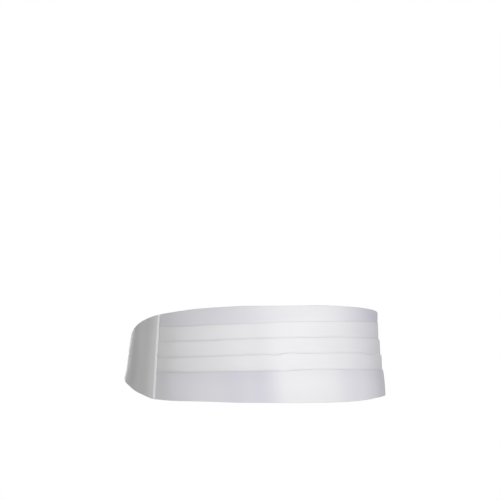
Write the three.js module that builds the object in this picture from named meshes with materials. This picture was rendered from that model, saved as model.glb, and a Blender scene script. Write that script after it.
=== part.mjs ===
// A pleated satin cummerbund, closed round a waist as it is worn.
// Millimetres. +Z is up, -Y is the wearer's front, +X is the wearer's left.
// The origin is on the waist's axis, level with the middle of the pleated front.
//
// Every piece is laid on the same flared oval. A place on it is given by its arc, the
// distance along the oval from the centre of the front, its height and its offset outwards.
import * as THREE from "three";
import { mergeVertices } from "three/addons/utils/BufferGeometryUtils.js";

// The waist inside the sash, at mid height
const waistHalfWidth = 180.5;
const waistHalfDepth = 125.7;
const flare = 0.124; // the hollow grows by this on every side for each millimetre down

// The pleated front
const frontHeight = 127;
const frontHalfLength = 207.5; // from the centre of the front to each side seam
const seamLean = 0.03; // how far a side seam moves outwards along the oval for each millimetre up
const liningWall = 1.2; // cloth behind the pleats
const pleatWall = 1.1; // one pleat's doubled edge
const pocketMouth = 0.6; // gap behind a pleat, at its folded edge
const pocketRoot = 0.4; // the same gap at its bottom
const pocketDepth = 10;
const hemWall = 1.9; // the front's thickness at its top and bottom hems
const faceSwell = 0.25; // how far a pleat's face swells between two folded edges
const foldRound = 0.6; // roundness of folded edges and hems
const creaseRelief = 1.4; // how far the soft creases of the worn front stand out
const seamPress = 0.6; // share of the pleats' thickness left where the seam presses them
const pressLength = 16; // length of front over which the pleats flatten towards a seam

// The plain side panels
const panelLength = 123;
const panelWall = 2;
const lapLength = 3; // the panel's rolled edge covers the ends of the pleats by this much
const rollWall = 1.7; // thickness of the rolled edge at its crest, over the pleats
const rollLip = 0.4; // and at its own front edge
const rollCrest = 4; // from the seam to the crest
const rollLength = 26; // from the seam to where the rolled edge has sunk into the panel
const panelRelief = 1; // how far the panels' soft waves stand out
const panelHemLap = 1.5; // the panel's end stands this far past the strap, above and below

// The back straps and their clasp
const strapHeight = 36;
const strapLevel = -2; // height of the straps' middle line
const strapWall = 1.5;
const strapTuck = 12; // length of strap sewn inside the panel's end
const strapReturn = 20; // length of strap turned back inside, past the clasp's bar
const claspWall = 2;
const claspBar = 4; // width of each end bar
const claspSlot = 6;
const claspWeb = 14; // width of the plate between the two slots
const claspRim = 4; // plate above and below the slots
const claspCorner = 3;

const clearance = 0.3; // between neighbouring pieces
const claspClearance = 0.5; // between a strap and the bar that it goes round

// Fineness of the mesh
const ovalSteps = 1440;
const frontStations = 46;
const panelStations = 15;
const strapStations = 15;
const turnSteps = 8;

// The front's edges from top to bottom: its top hem, four folded edges and its bottom hem.
// All are shares of frontHeight. From the centre to a seam an edge rises by bow + turn, and by
// lean more on the wearer's left.
const frontEdges = [
  { height: 0.501, lean: -0.03, bow: -0.071, turn: -0.054 },
  { height: 0.33, lean: 0, bow: -0.08, turn: 0.033 },
  { height: 0.169, lean: -0.018, bow: -0.083, turn: 0.022 },
  { height: 0.007, lean: -0.017, bow: -0.093, turn: 0.033 },
  { height: -0.161, lean: -0.021, bow: -0.078, turn: 0.037 },
  { height: -0.499, lean: -0.019, bow: 0.048, turn: -0.018 },
];

// Soft creases of the worn front. arc and length are shares of frontHalfLength, height and
// tall of frontHeight, rise of creaseRelief. lean is the sideways run for each millimetre up.
const frontCreases = [
  { arc: -0.285, height: -0.12, length: 0.1, tall: 0.5, lean: -0.15, rise: 0.85 },
  { arc: -0.48, height: -0.34, length: 0.22, tall: 0.2, lean: 0, rise: -0.6 },
  { arc: -0.2, height: -0.05, length: 0.05, tall: 0.05, lean: -1.1, rise: 0.45 },
  { arc: 0.54, height: -0.1, length: 0.11, tall: 0.5, lean: 0, rise: 0.7 },
  { arc: -0.73, height: 0.1, length: 0.15, tall: 0.35, lean: 0.1, rise: 0.4 },
  { arc: 0.86, height: 0.47, length: 0.15, tall: 0.24, lean: 0, rise: 2.5 },
];

// Soft waves of a side panel: along and length are shares of panelLength, height and tall of
// frontHeight, rise of panelRelief.
const panelWaves = [
  { along: 0.32, height: 0.16, length: 0.14, tall: 0.3, lean: 0.25, rise: 0.8 },
  { along: 0.5, height: -0.2, length: 0.18, tall: 0.16, lean: -0.3, rise: -0.7 },
  { along: 0.72, height: 0, length: 0.12, tall: 0.2, lean: 0, rise: 0.6 },
  { along: 0.7, height: -0.36, length: 0.2, tall: 0.14, lean: 0, rise: 3.2 },
];

// A side panel narrows from the seam to the strap. along is a share of panelLength, upper and
// lower are the shares of the narrowing still to come, above and below.
const panelTaper = [
  { along: 0, upper: 1, lower: 1 },
  { along: 0.106, upper: 0.91, lower: 0.9 },
  { along: 0.244, upper: 0.763, lower: 0.785 },
  { along: 0.415, upper: 0.52, lower: 0.61 },
  { along: 0.6, upper: 0.25, lower: 0.45 },
  { along: 0.8, upper: 0.07, lower: 0.2 },
  { along: 1, upper: 0, lower: 0 },
];

// The oval's arc length at even steps of angle, from the centre of the front to the back
const ovalArcs = [0];
for (let i = 1; i <= ovalSteps; i += 1) {
  const angle = ((i - 0.5) / ovalSteps) * Math.PI;
  const speed = Math.hypot(waistHalfWidth * Math.cos(angle), waistHalfDepth * Math.sin(angle));
  ovalArcs.push(ovalArcs[i - 1] + (speed * Math.PI) / ovalSteps);
}
const halfRound = ovalArcs[ovalSteps]; // half the waist's length, to the centre of the back

function angleAt(arc) {
  const wanted = Math.abs(arc);
  let low = 0;
  let high = ovalSteps;
  while (high - low > 1) {
    const middle = (low + high) >> 1;
    if (ovalArcs[middle] <= wanted) low = middle;
    else high = middle;
  }
  const step = (wanted - ovalArcs[low]) / (ovalArcs[high] - ovalArcs[low]);
  return (Math.sign(arc) * (low + step) * Math.PI) / ovalSteps;
}

// A point at an arc and a height, moved outwards from the waist by offset
function place(arc, height, offset) {
  const angle = angleAt(arc);
  const width = waistHalfWidth - flare * height;
  const depth = waistHalfDepth - flare * height;
  const outward = new THREE.Vector2(Math.sin(angle) / width, -Math.cos(angle) / depth).normalize();
  return new THREE.Vector3(
    width * Math.sin(angle) + outward.x * offset,
    -depth * Math.cos(angle) + outward.y * offset,
    height,
  );
}

const smooth = (share) => THREE.MathUtils.smoothstep(share, 0, 1);

// A closed solid through rings of equally many points, with its first and last ring filled in.
// flat gives a ring's points as THREE.Vector2, in the plane where its outline doesn't cross itself.
function loft(rings, flat) {
  const count = rings[0].length;
  const positions = rings.flat().flatMap((point) => point.toArray());
  const indices = [];
  for (let i = 0; i + 1 < rings.length; i += 1) {
    for (let j = 0; j < count; j += 1) {
      const here = i * count + j;
      const next = i * count + ((j + 1) % count);
      indices.push(here, next, next + count, here, next + count, here + count);
    }
  }
  const lastRing = (rings.length - 1) * count;
  const turned = THREE.ShapeUtils.area(flat[0]) < 0;
  for (const [first, outline, front] of [
    [0, flat[0], true],
    [lastRing, flat[1], false],
  ]) {
    for (const [a, b, c] of THREE.ShapeUtils.triangulateShape([...outline], [])) {
      if (front === turned) indices.push(first + a, first + b, first + c);
      else indices.push(first + a, first + c, first + b);
    }
  }
  const shape = new THREE.BufferGeometry();
  shape.setAttribute("position", new THREE.Float32BufferAttribute(positions, 3));
  shape.setIndex(facingOut(positions, indices));
  const solid = mergeVertices(shape, 1e-4);
  solid.computeVertexNormals();
  return solid;
}

// The triangles, turned round where they would enclose a negative volume
function facingOut(positions, indices) {
  const corners = [0, 1, 2].map(() => new THREE.Vector3());
  let volume = 0;
  for (let i = 0; i < indices.length; i += 3) {
    corners.forEach((corner, k) => corner.fromArray(positions, 3 * indices[i + k]));
    volume += corners[0].dot(corners[1].cross(corners[2]));
  }
  return volume < 0 ? [...indices].reverse() : indices;
}

// The sum of soft rounded rises at an arc and a height
function relief(rows, arc, height) {
  let total = 0;
  for (const row of rows) {
    const up = height - row.height;
    const across = (arc - row.arc - row.lean * up) / row.length;
    total += row.rise * Math.exp(-(across ** 2) - (up / row.tall) ** 2);
  }
  return total;
}

// Heights of the front's edges at an arc, from its top hem to its bottom hem
function edgeHeights(arc) {
  const share = THREE.MathUtils.clamp(arc / frontHalfLength, -1, 1);
  return frontEdges.map(
    ({ height, lean, bow, turn }) =>
      frontHeight * (height + lean * share + bow * share ** 2 + turn * share ** 4),
  );
}

const creaseRows = frontCreases.map((row) => ({
  arc: row.arc * frontHalfLength,
  height: row.height * frontHeight,
  length: row.length * frontHalfLength,
  tall: row.tall * frontHeight,
  lean: row.lean,
  rise: row.rise * creaseRelief,
}));

// Share of their full thickness that the pleats keep at an arc: less at the side seams
function pressAt(arc) {
  const fromLap = frontHalfLength - lapLength - Math.abs(arc);
  return seamPress + (1 - seamPress) * smooth(fromLap / pressLength);
}

// How far the whole front stands off the waist at a place: nothing where the seams hold it
function frontRelief(arc, height) {
  const held = smooth((frontHalfLength - lapLength - Math.abs(arc)) / (2 * pressLength));
  return held * relief(creaseRows, arc, height);
}

// The front's outline at an arc, as heights and offsets, down its outer face and up its back
function frontSection(arc) {
  const edges = edgeHeights(arc);
  const press = pressAt(arc);
  const lining = liningWall * press;
  const flapBack = lining + pocketMouth * press;
  const flapFace = flapBack + pleatWall * press;
  const hem = hemWall * press;
  const round = Math.min(foldRound, hem / 2);
  const top = edges[0];
  const bottom = edges[edges.length - 1];
  const outline = [
    [top - round, 0],
    [top, hem * 0.3],
    [top, hem * 0.7],
    [top - round, hem],
  ];
  const face = (fromHeight, fromOffset, toHeight, toOffset) => {
    for (const share of [0.3, 0.65]) {
      const swell = faceSwell * press * Math.sin(share * Math.PI);
      outline.push([
        THREE.MathUtils.lerp(fromHeight, toHeight, share),
        THREE.MathUtils.lerp(fromOffset, toOffset, share) + swell,
      ]);
    }
  };
  let startHeight = top - round;
  let startOffset = hem;
  for (const fold of edges.slice(1, -1)) {
    face(startHeight, startOffset, fold, lining);
    outline.push(
      [fold, lining],
      [fold - pocketDepth, lining],
      [fold - pocketDepth, lining + pocketRoot * press],
      [fold - round, flapBack],
      [fold, THREE.MathUtils.lerp(flapBack, flapFace, 0.3)],
      [fold, THREE.MathUtils.lerp(flapBack, flapFace, 0.7)],
      [fold - round, flapFace],
    );
    startHeight = fold - round;
    startOffset = flapFace;
  }
  face(startHeight, startOffset, bottom + round, hem);
  outline.push(
    [bottom + round, hem],
    [bottom, hem * 0.7],
    [bottom, hem * 0.3],
    [bottom + round, 0],
  );
  for (const share of [0.15, 0.3, 0.45, 0.6, 0.75, 0.88]) {
    outline.push([THREE.MathUtils.lerp(bottom, top, share), 0]);
  }
  return outline;
}

function pleatedFront() {
  const rings = [];
  for (let i = 0; i <= frontStations; i += 1) {
    const arc = frontHalfLength * (-1 + (2 * i) / frontStations);
    rings.push(
      frontSection(arc).map(([height, offset]) =>
        place(
          arc * (1 + (seamLean * height) / frontHalfLength),
          height,
          offset + frontRelief(arc, height),
        ),
      ),
    );
  }
  const cap = (arc) => frontSection(arc).map(([height, offset]) => new THREE.Vector2(offset, height));
  return loft(rings, [cap(-frontHalfLength), cap(frontHalfLength)]);
}

// A value between the rows of a table, smooth through all of them
function between(rows, column, share) {
  const curve = new THREE.SplineCurve(rows.map((row) => new THREE.Vector2(row.along, row[column])));
  let low = 0;
  let high = 1;
  for (let i = 0; i < 30; i += 1) {
    const middle = (low + high) / 2;
    if (curve.getPoint(middle).x < share) low = middle;
    else high = middle;
  }
  return curve.getPoint(low).y;
}

// Top and bottom of the side panel at a distance from its seam. side is 1 or -1.
function panelHeights(side, fromSeam) {
  const share = THREE.MathUtils.clamp(fromSeam / panelLength, 0, 1);
  const edges = edgeHeights(side * frontHalfLength);
  const endHalf = strapHeight / 2 + panelHemLap;
  return {
    top: THREE.MathUtils.lerp(
      strapLevel + endHalf,
      edges[0],
      between(panelTaper, "upper", share),
    ),
    bottom: THREE.MathUtils.lerp(
      strapLevel - endHalf,
      edges[edges.length - 1],
      between(panelTaper, "lower", share),
    ),
  };
}

// A side panel's outline seen from above: the distance from the seam and the offset of its back
// and of its face. Its rolled front edge laps over the ends of the pleats.
function panelPlan() {
  const lapBack = (liningWall + pocketMouth + pleatWall) * seamPress + clearance;
  const rollFace = lapBack + rollWall;
  const lipFace = lapBack + rollLip;
  const rounded = (fromSeam) => {
    const toCrest = (rollCrest - fromSeam) / (rollCrest + lapLength);
    return [fromSeam, THREE.MathUtils.lerp(lipFace, rollFace, Math.sqrt(1 - toCrest ** 2))];
  };
  const plan = [
    { back: [-lapLength, lapBack + rollLip / 4], face: [-lapLength, lipFace - rollLip / 4] },
    { back: [rollLip - lapLength, lapBack], face: rounded(rollLip - lapLength) },
    { back: [-lapLength / 2, lapBack], face: rounded(-lapLength / 2) },
    { back: [clearance, lapBack], face: rounded(0) },
    { back: [clearance, 0], face: rounded(2 * clearance) },
    { back: [rollCrest, 0], face: rounded(rollCrest) },
  ];
  for (const share of [0.35, 0.7, 1]) {
    const along = THREE.MathUtils.lerp(rollCrest, rollLength, share);
    const sunk = THREE.MathUtils.lerp(rollFace, panelWall, smooth(share));
    plan.push({ back: [along, 0], face: [along, sunk] });
  }
  for (let i = 1; i <= panelStations; i += 1) {
    const along = THREE.MathUtils.lerp(rollLength, panelLength - foldRound, i / panelStations);
    plan.push({ back: [along, 0], face: [along, panelWall] });
  }
  plan.push({
    back: [panelLength, panelWall * 0.25],
    face: [panelLength, panelWall * 0.75],
  });
  return plan;
}

const waveRows = panelWaves.map((row) => ({
  arc: row.along * panelLength,
  height: row.height * frontHeight,
  length: row.length * panelLength,
  tall: row.tall * frontHeight,
  lean: row.lean,
  rise: row.rise * panelRelief,
}));

// How far a side panel stands off the waist: nothing near its seam and over the strap
function panelRise(fromSeam, height) {
  const fromEnd = panelLength - strapTuck - fromSeam;
  const held = smooth(fromSeam / rollLength) * smooth(fromEnd / strapTuck);
  return held * relief(waveRows, fromSeam, height);
}

function sidePanel(side) {
  const shares = [0.84, 0.68, 0.5, 0.32, 0.16];
  const rings = [];
  const outlines = [];
  for (const { back, face } of panelPlan()) {
    const wall = face[1] - back[1];
    const round = Math.min(foldRound, wall / 2);
    const corners = [];
    const add = ([fromSeam, offset], heightIn) => {
      const { top, bottom } = panelHeights(side, fromSeam);
      const height = heightIn(top, bottom);
      corners.push({ fromSeam, height, offset: offset + panelRise(fromSeam, height) });
    };
    const towards = (share) => [
      THREE.MathUtils.lerp(back[0], face[0], share),
      THREE.MathUtils.lerp(back[1], face[1], share),
    ];
    add(face, (top) => top - round);
    for (const share of shares) add(face, (top, bottom) => THREE.MathUtils.lerp(bottom, top, share));
    add(face, (top, bottom) => bottom + round);
    add(towards(0.7), (top, bottom) => bottom);
    add(towards(0.3), (top, bottom) => bottom);
    add(back, (top, bottom) => bottom + round);
    for (const share of [...shares].reverse()) {
      add(back, (top, bottom) => THREE.MathUtils.lerp(bottom, top, share));
    }
    add(back, (top) => top - round);
    add(towards(0.3), (top) => top);
    add(towards(0.7), (top) => top);
    rings.push(
      corners.map(({ fromSeam, height, offset }) => {
        const lean = seamLean * height * (1 - THREE.MathUtils.clamp(fromSeam / panelLength, 0, 1));
        return place(side * (frontHalfLength + lean + fromSeam), height, offset);
      }),
    );
    outlines.push(corners.map(({ height, offset }) => new THREE.Vector2(offset, height)));
  }
  return loft(rings, [outlines[0], outlines[outlines.length - 1]]);
}

// The strap's middle line seen from above, as points of distance from the centre of the back
// and offset: from its tuck in the panel, round the clasp's bar and back inside.
const legOffset = claspWall / 2 + claspClearance + strapWall / 2;
const strapOffset = -clearance - strapWall / 2;
const claspOffset = strapOffset + legOffset;
const barInside = claspWeb / 2 + claspSlot;
const barOutside = barInside + claspBar;

function strapPath() {
  const start = halfRound - frontHalfLength - panelLength + strapTuck;
  const returnEnd = barOutside + strapReturn;
  const outerLeg = claspOffset + legOffset;
  const overReturn = strapOffset + strapWall + clearance;
  const settled = returnEnd + strapReturn;
  const path = [];
  for (let i = 0; i <= strapStations; i += 1) {
    path.push([THREE.MathUtils.lerp(start, settled, i / strapStations), strapOffset]);
  }
  const rise = [
    [THREE.MathUtils.lerp(settled, returnEnd, 0.5), THREE.MathUtils.lerp(strapOffset, overReturn, 0.4)],
    [returnEnd + strapWall, overReturn + clearance],
    [THREE.MathUtils.lerp(returnEnd, barOutside, 0.5), (overReturn + outerLeg) / 2 + clearance],
    [barOutside + strapWall, outerLeg],
    [barInside + strapWall, outerLeg],
  ];
  path.push(...rise);
  for (let i = 0; i <= turnSteps; i += 1) {
    const angle = (Math.PI * i) / turnSteps;
    path.push([barInside - legOffset * Math.sin(angle), claspOffset + legOffset * Math.cos(angle)]);
  }
  for (const share of [0.35, 0.7, 1]) {
    path.push([THREE.MathUtils.lerp(barInside, returnEnd, share), strapOffset]);
  }
  return path;
}

function strap(side) {
  const path = strapPath();
  const top = strapLevel + strapHeight / 2;
  const bottom = strapLevel - strapHeight / 2;
  const half = strapWall / 2;
  const section = [
    [half, top - half],
    [half, strapLevel],
    [half, bottom + half],
    [0, bottom],
    [-half, bottom + half],
    [-half, strapLevel],
    [-half, top - half],
    [0, top],
  ];
  const rings = path.map(([fromBack, offset], i) => {
    const before = path[Math.max(i - 1, 0)];
    const after = path[Math.min(i + 1, path.length - 1)];
    const along = new THREE.Vector2(after[0] - before[0], after[1] - before[1]).normalize();
    return section.map(([out, height]) =>
      place(side * (halfRound - fromBack - along.y * out), height, offset - along.x * out),
    );
  });
  const cap = section.map(([out, height]) => new THREE.Vector2(out, height));
  return loft(rings, [cap, cap]);
}

function roundedOutline(path, halfWidth, halfHeight, corner, middle) {
  const left = middle - halfWidth;
  const right = middle + halfWidth;
  path.moveTo(left + corner, -halfHeight);
  path.lineTo(right - corner, -halfHeight);
  path.absarc(right - corner, -halfHeight + corner, corner, -Math.PI / 2, 0, false);
  path.lineTo(right, halfHeight - corner);
  path.absarc(right - corner, halfHeight - corner, corner, 0, Math.PI / 2, false);
  path.lineTo(left + corner, halfHeight);
  path.absarc(left + corner, halfHeight - corner, corner, Math.PI / 2, Math.PI, false);
  path.lineTo(left, -halfHeight + corner);
  path.absarc(left + corner, -halfHeight + corner, corner, Math.PI, 1.5 * Math.PI, false);
  return path;
}

// A flat plate with an upright slot near each end, which the straps go through
function claspPlate() {
  const slotHalf = strapHeight / 2 + claspClearance;
  const plate = roundedOutline(
    new THREE.Shape(),
    barOutside,
    slotHalf + claspRim,
    claspCorner,
    0,
  );
  for (const side of [-1, 1]) {
    const middle = side * (claspWeb + claspSlot) / 2;
    plate.holes.push(
      roundedOutline(new THREE.Path(), claspSlot / 2, slotHalf, claspCorner / 4, middle),
    );
  }
  const solid = new THREE.ExtrudeGeometry(plate, {
    depth: claspWall,
    bevelEnabled: false,
    curveSegments: 6,
  });
  solid.translate(0, 0, -claspWall / 2);
  return solid;
}

const satin = (name, color) => {
  const cloth = new THREE.MeshStandardMaterial({ color, roughness: 0.42, metalness: 0 });
  cloth.name = name;
  return cloth;
};

function named(name, geometry, material) {
  const mesh = new THREE.Mesh(geometry, material);
  mesh.name = name;
  return mesh;
}

const cummerbund = new THREE.Group();
cummerbund.add(named("pleated_front", pleatedFront(), satin("front satin", 0xf1f1f3)));

for (const [side, hand] of [
  [1, "left"],
  [-1, "right"],
]) {
  const half = new THREE.Group();
  half.add(named(`side_panel_${hand}`, sidePanel(side), satin("panel satin", 0xefefef)));
  half.add(named(`strap_${hand}`, strap(side), satin("strap cloth", 0xe9e9ea)));
  cummerbund.add(half);
}

// The clasp lies flat on the back of the oval, turned to the waist's flare
const claspMetal = new THREE.MeshStandardMaterial({
  color: 0xb9bcc0,
  roughness: 0.35,
  metalness: 0.9,
});
claspMetal.name = "clasp metal";
const clasp = named("clasp", claspPlate(), claspMetal);
const barMiddle = (barInside + barOutside) / 2;
const backCurve = waistHalfWidth ** 2 / waistHalfDepth; // the oval's radius at the back
const barSag = barMiddle ** 2 / (2 * backCurve);
clasp.position.copy(place(halfRound, strapLevel, claspOffset - barSag));
clasp.rotation.set(Math.PI / 2 + Math.atan(flare), 0, 0);
cummerbund.add(clasp);

export default cummerbund;
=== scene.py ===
import bmesh
import bpy
import numpy as np
from mathutils import Matrix, Vector


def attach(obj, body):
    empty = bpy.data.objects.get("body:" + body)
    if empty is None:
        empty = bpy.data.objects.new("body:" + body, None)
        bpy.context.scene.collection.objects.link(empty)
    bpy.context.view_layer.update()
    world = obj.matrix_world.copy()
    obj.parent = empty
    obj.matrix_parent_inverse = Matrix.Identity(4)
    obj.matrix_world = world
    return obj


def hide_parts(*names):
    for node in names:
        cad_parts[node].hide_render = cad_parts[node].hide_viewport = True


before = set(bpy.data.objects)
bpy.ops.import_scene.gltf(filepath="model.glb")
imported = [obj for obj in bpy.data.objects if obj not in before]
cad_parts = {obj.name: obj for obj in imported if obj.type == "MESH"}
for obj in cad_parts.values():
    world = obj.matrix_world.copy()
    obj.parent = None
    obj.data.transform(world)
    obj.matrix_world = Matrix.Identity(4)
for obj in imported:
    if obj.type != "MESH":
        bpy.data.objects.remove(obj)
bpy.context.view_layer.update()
print("frame loaded")

mm = 0.001

# The waist

oval = {"halfWidth": 180.5, "halfDepth": 125.7, "flare": 0.124, "steps": 6000}

ovalAngles = np.linspace(0.0, np.pi, oval["steps"] + 1)
betweenAngles = (ovalAngles[1:] + ovalAngles[:-1]) / 2
ovalSpeed = np.hypot(
    oval["halfWidth"] * np.cos(betweenAngles),
    oval["halfDepth"] * np.sin(betweenAngles),
)
ovalArcs = np.concatenate([[0.0], np.cumsum(ovalSpeed) * np.pi / oval["steps"]])
halfRound = ovalArcs[-1]  # arc of the centre of the back


# A point of the ellipse at its arc, shrunk by flare times height, then moved out along its normal.
def place(arc, height, offset):
    arc, height, offset = np.broadcast_arrays(arc, height, offset)
    angle = np.sign(arc) * np.interp(np.abs(arc), ovalArcs, ovalAngles)
    width = oval["halfWidth"] - oval["flare"] * height
    depth = oval["halfDepth"] - oval["flare"] * height
    outX = np.sin(angle) / width
    outY = -np.cos(angle) / depth
    size = np.hypot(outX, outY)
    x = width * np.sin(angle) + offset * outX / size
    y = -depth * np.cos(angle) + offset * outY / size
    return np.stack([x, y, height], axis=-1) * mm


def smooth(share):
    share = np.clip(share, 0.0, 1.0)
    return share * share * (3.0 - 2.0 * share)


def mix(start, end, share):
    return start + (end - start) * share


# A smooth curve through a short table of points and values: a cubic between each two points, whose
# slope at a point follows from its neighbours.
def through(points, values, at):
    points = np.asarray(points, float)
    values = np.asarray(values, float)
    slopes = np.gradient(values, points)
    at = np.clip(at, points[0], points[-1])
    left = np.clip(np.searchsorted(points, at, side="right") - 1, 0, len(points) - 2)
    span = points[left + 1] - points[left]
    share = (at - points[left]) / span
    square, cube = share**2, share**3
    return (
        (2 * cube - 3 * square + 1) * values[left]
        + (cube - 2 * square + share) * span * slopes[left]
        + (3 * square - 2 * cube) * values[left + 1]
        + (cube - square) * span * slopes[left + 1]
    )


# A sum of rounded rises: each is rise times a bell across and a bell up, sheared sideways by lean.
# A row without a lean stands upright. A higher power gives flatter tops with steeper sides.
def relief(rows, arc, height, power=2):
    total = np.zeros(np.broadcast(arc, height).shape)
    for row in rows:
        up = height - row["height"]
        across = (arc - row["arc"] - row.get("lean", 0.0) * up) / row["length"]
        total += row["rise"] * np.exp(-(np.abs(across) ** power) - np.abs(up / row["tall"]) ** power)
    return total


# A few sine waves of set lengths, the same on every run.
def ripple(along, waves):
    return sum(size * np.sin(2 * np.pi * (along / length + turn)) for length, size, turn in waves)


# Meshes

# Puts points, quads and end caps into a new mesh. Each quad corner takes its place on the cloth as UV.
def newPiece(name, points, quads, corners, caps, slots, materials):
    mesh = bpy.data.meshes.new(name)
    sizes = [4] * len(quads) + [len(cap) for cap in caps]
    loops = np.concatenate([quads.ravel(), *[np.asarray(cap).ravel() for cap in caps]])
    starts = np.concatenate([[0], np.cumsum(sizes)[:-1]])
    mesh.vertices.add(len(points))
    mesh.vertices.foreach_set("co", np.ascontiguousarray(points, np.float32).ravel())
    mesh.loops.add(len(loops))
    mesh.loops.foreach_set("vertex_index", loops.astype(np.int32))
    mesh.polygons.add(len(sizes))
    mesh.polygons.foreach_set("loop_start", starts.astype(np.int32))
    allSlots = np.concatenate([slots, np.zeros(len(caps))])
    mesh.polygons.foreach_set("material_index", allSlots.astype(np.int32))
    mesh.polygons.foreach_set("use_smooth", np.ones(len(sizes), bool))
    mesh.update(calc_edges=True)
    cloth = mesh.uv_layers.new(name="cloth")
    uvs = np.zeros((len(loops), 2), np.float32)
    uvs[: corners.shape[0]] = corners
    cloth.data.foreach_set("uv", uvs.ravel())
    for material in materials:
        mesh.materials.append(material)
    mesh.validate()
    piece = bpy.data.objects.new(name, mesh)
    bpy.context.scene.collection.objects.link(piece)
    return piece


# Joins rings of points into a closed tube. Points are (ring, place in ring, xyz); the UV runs along
# the rings by alongRings and round each one by its own length. turned makes the faces look outwards.
def tube(name, points, alongRings, materials, innerFrom=None, innerTo=None, turned=False, shade=None):
    rings, count, _ = points.shape
    i = np.arange(rings - 1)[:, None]
    j = np.arange(count)[None, :]
    here = i * count + j
    beside = i * count + (j + 1) % count
    quads = np.stack([here, beside, beside + count, here + count], axis=-1).reshape(-1, 4)
    steps = np.linalg.norm(np.diff(points, axis=1, append=points[:, :1]), axis=2)
    girth = np.concatenate([np.zeros((rings, 1)), np.cumsum(steps, axis=1)], axis=1)
    along = np.broadcast_to(np.asarray(alongRings)[:, None] * mm, girth.shape)
    uv = np.stack([along, girth], axis=-1)
    corners = np.stack([uv[:-1, :-1], uv[:-1, 1:], uv[1:, 1:], uv[1:, :-1]], axis=2).reshape(-1, 2)
    caps = [np.arange(count)[::-1], (rings - 1) * count + np.arange(count)]
    if turned:
        quads = quads[:, ::-1]
        corners = corners.reshape(-1, 4, 2)[:, ::-1].reshape(-1, 2)
        caps = [cap[::-1] for cap in caps]
    slots = np.zeros((rings - 1, count))
    if innerFrom is not None:
        slots[:, innerFrom:innerTo] = 1
    piece = newPiece(name, points.reshape(-1, 3), quads, corners, caps, slots.ravel(), materials)
    # shade is painted shade, one share a point, kept as the mesh's "shade" attribute.
    if shade is not None:
        spread = piece.data.attributes.new("shade", "FLOAT", "POINT")
        spread.data.foreach_set("value", np.ascontiguousarray(shade, np.float32).ravel())
    return piece


# Materials

def newGroup(name, inputs, outputs):
    group = bpy.data.node_groups.new(name, "ShaderNodeTree")
    for title, kind, value in inputs:
        socket = group.interface.new_socket(name=title, in_out="INPUT", socket_type=kind)
        if value is not None:
            socket.default_value = value
    for title, kind in outputs:
        group.interface.new_socket(name=title, in_out="OUTPUT", socket_type=kind)
    return group, group.nodes.new("NodeGroupInput"), group.nodes.new("NodeGroupOutput")


def addNode(tree, kind, **settings):
    node = tree.nodes.new(kind)
    for key, value in settings.items():
        setattr(node, key, value)
    return node


def math(tree, operation, first, second=None, third=None):
    node = addNode(tree, "ShaderNodeMath", operation=operation)
    for socket, value in zip(node.inputs, (first, second, third)):
        if value is None:
            continue
        if isinstance(value, (int, float)):
            socket.default_value = value
        else:
            tree.links.new(value, socket)
    return node.outputs[0]


# Satin weave: long fine floats that run one way, each a little higher or lower than its neighbour,
# with the short dips where they are bound down. Height is their relief, Shade a faint tone.
def satinWeaveGroup():
    group, given, out = newGroup(
        "satin weave",
        [
            ("Vector", "NodeSocketVector", None),
            ("Threads", "NodeSocketFloat", 2200.0),
            ("Float Length", "NodeSocketFloat", 220.0),
        ],
        [("Height", "NodeSocketFloat"), ("Shade", "NodeSocketFloat")],
    )
    split = addNode(group, "ShaderNodeSeparateXYZ")
    group.links.new(given.outputs["Vector"], split.inputs[0])
    across = math(group, "MULTIPLY", split.outputs["X"], given.outputs["Threads"])
    along = math(group, "MULTIPLY", split.outputs["Y"], given.outputs["Float Length"])
    stretched = addNode(group, "ShaderNodeCombineXYZ")
    group.links.new(across, stretched.inputs["X"])
    group.links.new(along, stretched.inputs["Y"])
    floats = addNode(group, "ShaderNodeTexNoise", noise_dimensions="2D")
    floats.inputs["Scale"].default_value = 1.0
    floats.inputs["Detail"].default_value = 2.0
    group.links.new(stretched.outputs[0], floats.inputs["Vector"])
    bound = addNode(group, "ShaderNodeTexVoronoi", voronoi_dimensions="2D", feature="F1")
    bound.inputs["Scale"].default_value = 0.5
    group.links.new(stretched.outputs[0], bound.inputs["Vector"])
    dips = math(group, "SMOOTH_MIN", bound.outputs["Distance"], 0.35, 0.1)
    height = math(group, "MULTIPLY_ADD", dips, 0.6, floats.outputs[0])
    group.links.new(height, out.inputs["Height"])
    shade = math(group, "MULTIPLY_ADD", floats.outputs[0], 0.5, 0.75)
    group.links.new(shade, out.inputs["Shade"])
    return group


# Handling: slow uneven tone and slack in the cloth, larger than the weave. Slack is its relief.
def handlingGroup():
    group, given, out = newGroup(
        "handling",
        [
            ("Vector", "NodeSocketVector", None),
            ("Scale", "NodeSocketFloat", 18.0),
            ("Stretch", "NodeSocketFloat", 0.35),
        ],
        [("Tone", "NodeSocketFloat"), ("Slack", "NodeSocketFloat")],
    )
    split = addNode(group, "ShaderNodeSeparateXYZ")
    group.links.new(given.outputs["Vector"], split.inputs[0])
    along = math(group, "MULTIPLY", split.outputs["X"], given.outputs["Stretch"])
    pulled = addNode(group, "ShaderNodeCombineXYZ")
    group.links.new(along, pulled.inputs["X"])
    group.links.new(split.outputs["Y"], pulled.inputs["Y"])
    group.links.new(split.outputs["Z"], pulled.inputs["Z"])
    tone = addNode(group, "ShaderNodeTexNoise")
    tone.inputs["Detail"].default_value = 3.0
    group.links.new(pulled.outputs[0], tone.inputs["Vector"])
    group.links.new(given.outputs["Scale"], tone.inputs["Scale"])
    group.links.new(tone.outputs[0], out.inputs["Tone"])
    finer = math(group, "MULTIPLY", given.outputs["Scale"], 3.1)
    slack = addNode(group, "ShaderNodeTexNoise")
    slack.inputs["Detail"].default_value = 2.0
    group.links.new(pulled.outputs[0], slack.inputs["Vector"])
    group.links.new(finer, slack.inputs["Scale"])
    group.links.new(slack.outputs[0], out.inputs["Slack"])
    return group


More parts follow.
